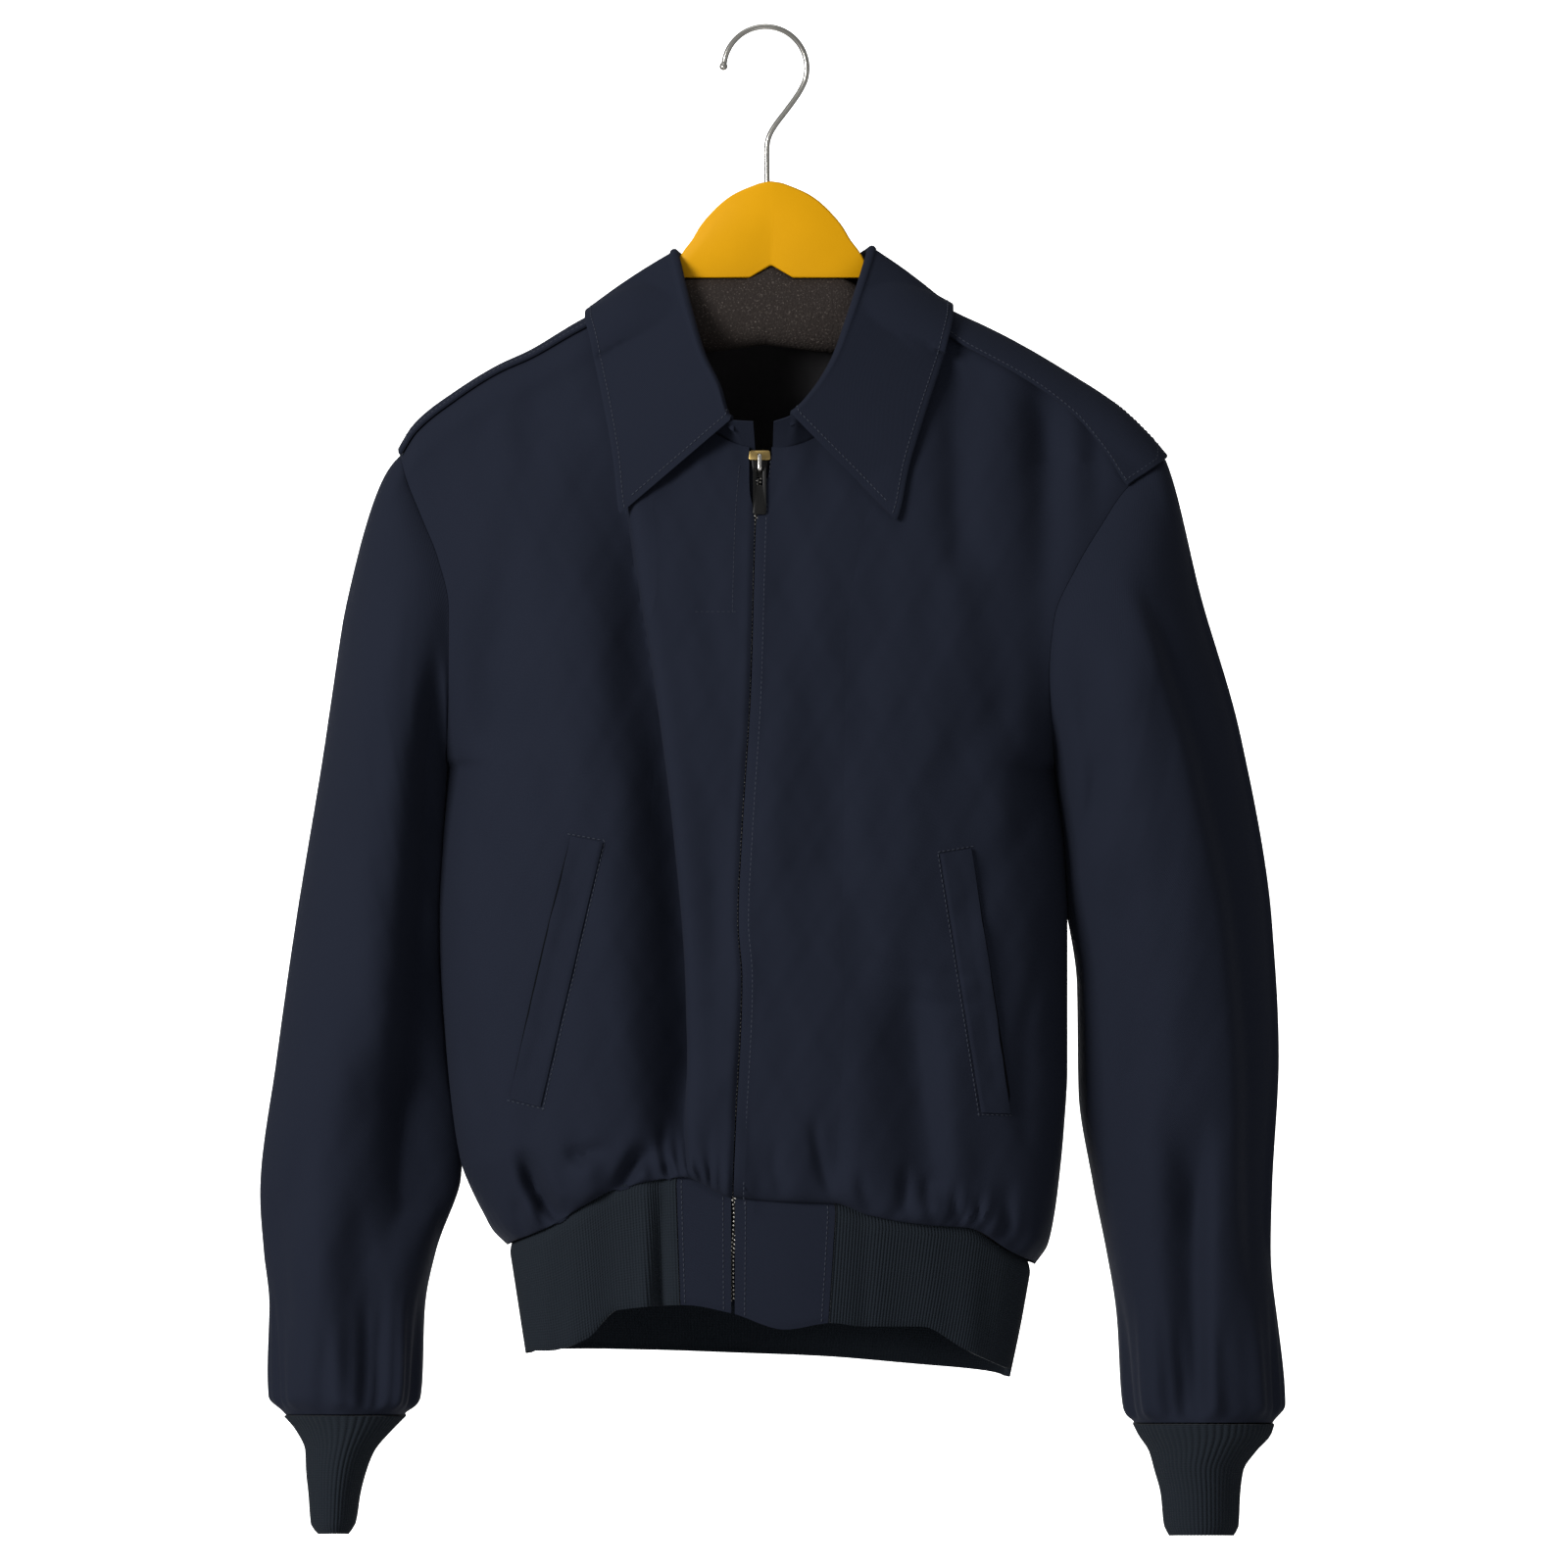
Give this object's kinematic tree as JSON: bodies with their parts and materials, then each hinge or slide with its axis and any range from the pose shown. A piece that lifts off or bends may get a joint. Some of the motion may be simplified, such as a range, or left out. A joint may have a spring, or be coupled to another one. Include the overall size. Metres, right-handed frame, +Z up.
{
  "type": "utility jacket on hanger",
  "caption": "Navy zip-front utility jacket with shoulder straps, slant pockets and ribbed waistband and cuffs, hanging on a wire-hook hanger with a yellow crown.",
  "frame": {"origin": "the inner top of the hanger's hook, where it rests on a rail", "axes": "+Z up through the hook, -Y toward the viewer of the jacket's front, +X to the viewer's right"},
  "size_m": [0.6271, 0.1757, 0.9256],
  "materials": {
    "navy_cloth": "matte fine twill",
    "navy_knit": "ribbed knit",
    "zip_tape_cloth": "flat woven tape",
    "dark_zip_metal": "dark, with worn brass edges",
    "hook_chrome": "polished",
    "crown_plastic": "satin yellow",
    "arm_foam": "speckled foam"
  },
  "bodies": {
    "garment": {"front_left": "navy_cloth", "front_right": "navy_cloth", "back": "navy_cloth", "sleeve_left": "navy_cloth", "sleeve_right": "navy_cloth", "collar_leaf": "navy_cloth", "collar_stand": "navy_cloth", "strap_left": "navy_cloth", "strap_right": "navy_cloth", "welt_left": "navy_cloth", "welt_right": "navy_cloth", "band_tab_left": "navy_cloth", "band_tab_right": "navy_cloth", "band_knit": "navy_knit", "cuff_left": "navy_knit", "cuff_right": "navy_knit", "zip_tape": "zip_tape_cloth", "zip_slider": "dark_zip_metal", "hanger_hook": "hook_chrome", "hanger_crown": "crown_plastic", "hanger_arms": "arm_foam"},
    "pull_tab": {"pull_tab": "dark_zip_metal"}
  },
  "joints": [
    {"name": "pull_tab_hinge", "type": "hinge", "parent": "garment", "child": "pull_tab", "pos_m": [-0.00323, -0.05735, -0.27135], "axis": [-1, 0, 0], "range_deg": [0, 120]}
  ]
}
